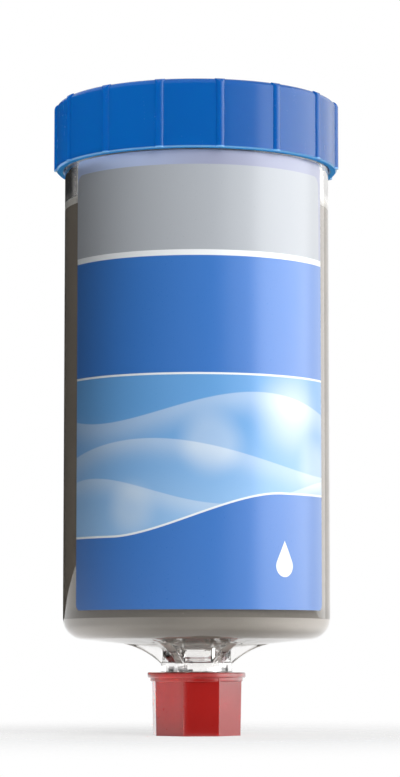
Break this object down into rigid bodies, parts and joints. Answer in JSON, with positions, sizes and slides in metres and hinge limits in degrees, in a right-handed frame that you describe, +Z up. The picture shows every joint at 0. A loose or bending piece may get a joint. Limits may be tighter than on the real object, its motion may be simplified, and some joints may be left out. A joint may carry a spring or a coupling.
{
  "type": "automatic lubricator",
  "caption": "Gas-driven grease lubricator: clear canister with follower piston, label, drive head with time dial under a ribbed ring, and a threaded outlet closed by a screw cap.",
  "frame": {"origin": "middle of the outlet cap's flat end, the lowest face, on the canister's axis", "axes": "+Z up along the canister's axis, from the outlet to the dial; -Y is the front, which the middle of the label faces; +X is to the right seen from the front"},
  "size_m": [0.0516, 0.0517, 0.1141],
  "materials": {
    "clear_plastic": "clear, polished",
    "printed_film": "printed film, satin",
    "blue_plastic": "moulded, satin gloss",
    "grey_plastic": "moulded, fine texture",
    "dial_plastic": "moulded, fine texture",
    "seal_rubber": "smooth",
    "piston_rubber": "smooth",
    "spring_steel": "rolled",
    "contact_alloy": "rolled, bright",
    "board_laminate": "lacquered laminate",
    "resistor_body": "moulded, with tinned ends",
    "cell_steel": "nickel plated",
    "gasket_plastic": "moulded",
    "cell_paste": "pressed powder",
    "membrane_film": "porous film",
    "piston_plastic": "moulded",
    "grease": "smooth grease",
    "red_plastic": "moulded, satin",
    "liner_foam": "closed-cell foam"
  },
  "bodies": {
    "canister": {"container": "clear_plastic", "label": "printed_film", "top_ring": "blue_plastic", "drive_head": "grey_plastic", "head_seal": "seal_rubber", "dial_seal": "seal_rubber", "timing_board": "board_laminate", "timing_resistors": "resistor_body", "contact_spring": "contact_alloy", "side_contact": "contact_alloy", "cell_can": "cell_steel", "cell_cap": "cell_steel", "cell_gasket": "gasket_plastic", "cell_core": "cell_paste", "gas_membrane": "membrane_film", "cell_cover": "grey_plastic", "grease": "grease"},
    "time_dial": {"dial": "dial_plastic", "dial_clip": "spring_steel", "wiper": "contact_alloy"},
    "follower": {"piston": "piston_plastic", "piston_seal": "piston_rubber"},
    "closure": {"outlet_cap": "red_plastic", "cap_liner": "liner_foam"}
  },
  "joints": [
    {"name": "dial_turn", "type": "hinge", "parent": "canister", "child": "time_dial", "pos_m": [0, 0, 0.111], "axis": [0, 0, -1], "range_deg": [0, 300]},
    {"name": "piston_feed", "type": "slide", "parent": "canister", "child": "follower", "axis": [0, 0, -1], "range_m": [0, 0.0725], "deforming": ["grease"]},
    {"name": "cap_off", "type": "slide", "parent": "canister", "child": "closure", "axis": [0, 0, -1], "range_m": [0, 0.03]}
  ]
}
